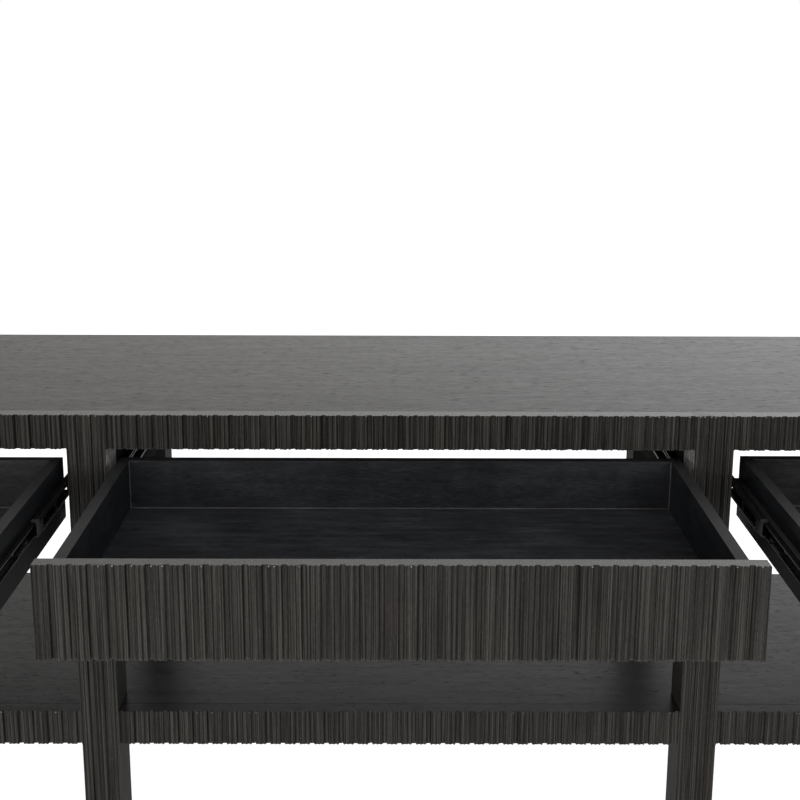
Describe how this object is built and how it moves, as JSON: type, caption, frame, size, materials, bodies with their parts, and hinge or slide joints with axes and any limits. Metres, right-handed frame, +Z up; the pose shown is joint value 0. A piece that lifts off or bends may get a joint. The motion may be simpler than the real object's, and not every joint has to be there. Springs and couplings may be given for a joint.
{
  "type": "console table",
  "caption": "Long dark wood console table with vertically reeded faces, inset drawers on ball-bearing slides and an open lower shelf.",
  "frame": {"origin": "on the floor, midway between the open drawers' faces and the back of the table, and midway along its length", "axes": "+Z up, +X along the table to the right as seen from the drawers' side; the drawers open towards -Y"},
  "size_m": [2.5072, 0.7238, 0.7112],
  "materials": {
    "reeded_wood": "satin, combed and stained charcoal brown",
    "panel_veneer": "satin, stained charcoal, grain along the length",
    "inner_wood": "matt, stained dark",
    "drawer_box_wood": "satin, stained near black",
    "slide_steel": "black electrophoretic coat",
    "screw_steel": "zinc plated",
    "glide_plastic": "matt black"
  },
  "bodies": {
    "frame": {"top_panel": "panel_veneer", "front_apron_left": "reeded_wood", "front_apron_centre": "reeded_wood", "front_apron_right": "reeded_wood", "back_panel_left": "panel_veneer", "back_panel_centre": "panel_veneer", "back_panel_right": "panel_veneer", "side_panel_left": "reeded_wood", "side_panel_right": "reeded_wood", "front_leg_outer_left": "reeded_wood", "front_leg_inner_left": "reeded_wood", "front_leg_inner_right": "reeded_wood", "front_leg_outer_right": "reeded_wood", "back_leg_outer_left": "reeded_wood", "back_leg_inner_left": "reeded_wood", "back_leg_inner_right": "reeded_wood", "back_leg_outer_right": "reeded_wood", "divider_left": "inner_wood", "divider_right": "inner_wood", "slide_rail_left": "inner_wood", "slide_rail_right": "inner_wood", "shelf_panel": "panel_veneer", "shelf_front_rail_left": "reeded_wood", "shelf_front_rail_centre": "reeded_wood", "shelf_front_rail_right": "reeded_wood", "shelf_back_rail_left": "panel_veneer", "shelf_back_rail_centre": "panel_veneer", "shelf_back_rail_right": "panel_veneer", "shelf_side_rail_left": "reeded_wood", "shelf_side_rail_right": "reeded_wood", "foot_glides": "glide_plastic", "top_cleats": "inner_wood", "shelf_cleats": "inner_wood", "cleat_screws": "screw_steel", "cabinet_slides": "slide_steel"},
    "drawer_left": {"drawer_front_left": "reeded_wood", "box_front_left": "drawer_box_wood", "box_side_left_left": "drawer_box_wood", "box_side_right_left": "drawer_box_wood", "box_back_left": "drawer_box_wood", "box_floor_left": "drawer_box_wood", "drawer_slides_left": "slide_steel"},
    "middle_member_left": {"middle_slides_left": "slide_steel"},
    "drawer_centre": {"drawer_front_centre": "reeded_wood", "box_front_centre": "drawer_box_wood", "box_side_left_centre": "drawer_box_wood", "box_side_right_centre": "drawer_box_wood", "box_back_centre": "drawer_box_wood", "box_floor_centre": "drawer_box_wood", "drawer_slides_centre": "slide_steel"},
    "middle_member_centre": {"middle_slides_centre": "slide_steel"},
    "drawer_right": {"drawer_front_right": "reeded_wood", "box_front_right": "drawer_box_wood", "box_side_left_right": "drawer_box_wood", "box_side_right_right": "drawer_box_wood", "box_back_right": "drawer_box_wood", "box_floor_right": "drawer_box_wood", "drawer_slides_right": "slide_steel", "slide_packing_right": "drawer_box_wood"},
    "middle_member_right": {"middle_slides_right": "slide_steel"}
  },
  "joints": [
    {"name": "drawer_left_slide", "type": "slide", "parent": "frame", "child": "drawer_left", "axis": [0, 1, 0], "range_m": [0, 0.3174]},
    {"name": "middle_member_left_slide", "type": "slide", "parent": "frame", "child": "middle_member_left", "axis": [0, 1, 0], "range_m": [0, 0.1587]},
    {"name": "drawer_centre_slide", "type": "slide", "parent": "frame", "child": "drawer_centre", "axis": [0, 1, 0], "range_m": [0, 0.3174]},
    {"name": "middle_member_centre_slide", "type": "slide", "parent": "frame", "child": "middle_member_centre", "axis": [0, 1, 0], "range_m": [0, 0.1587]},
    {"name": "drawer_right_slide", "type": "slide", "parent": "frame", "child": "drawer_right", "axis": [0, 1, 0], "range_m": [-0.01, 0.3074]},
    {"name": "middle_member_right_slide", "type": "slide", "parent": "frame", "child": "middle_member_right", "axis": [0, 1, 0], "range_m": [-0.005, 0.1537]}
  ],
  "couplings": [
    {"joint": "middle_member_left_slide", "follows": "drawer_left_slide", "ratio": 0.5},
    {"joint": "middle_member_centre_slide", "follows": "drawer_centre_slide", "ratio": 0.5},
    {"joint": "middle_member_right_slide", "follows": "drawer_right_slide", "ratio": 0.5}
  ]
}
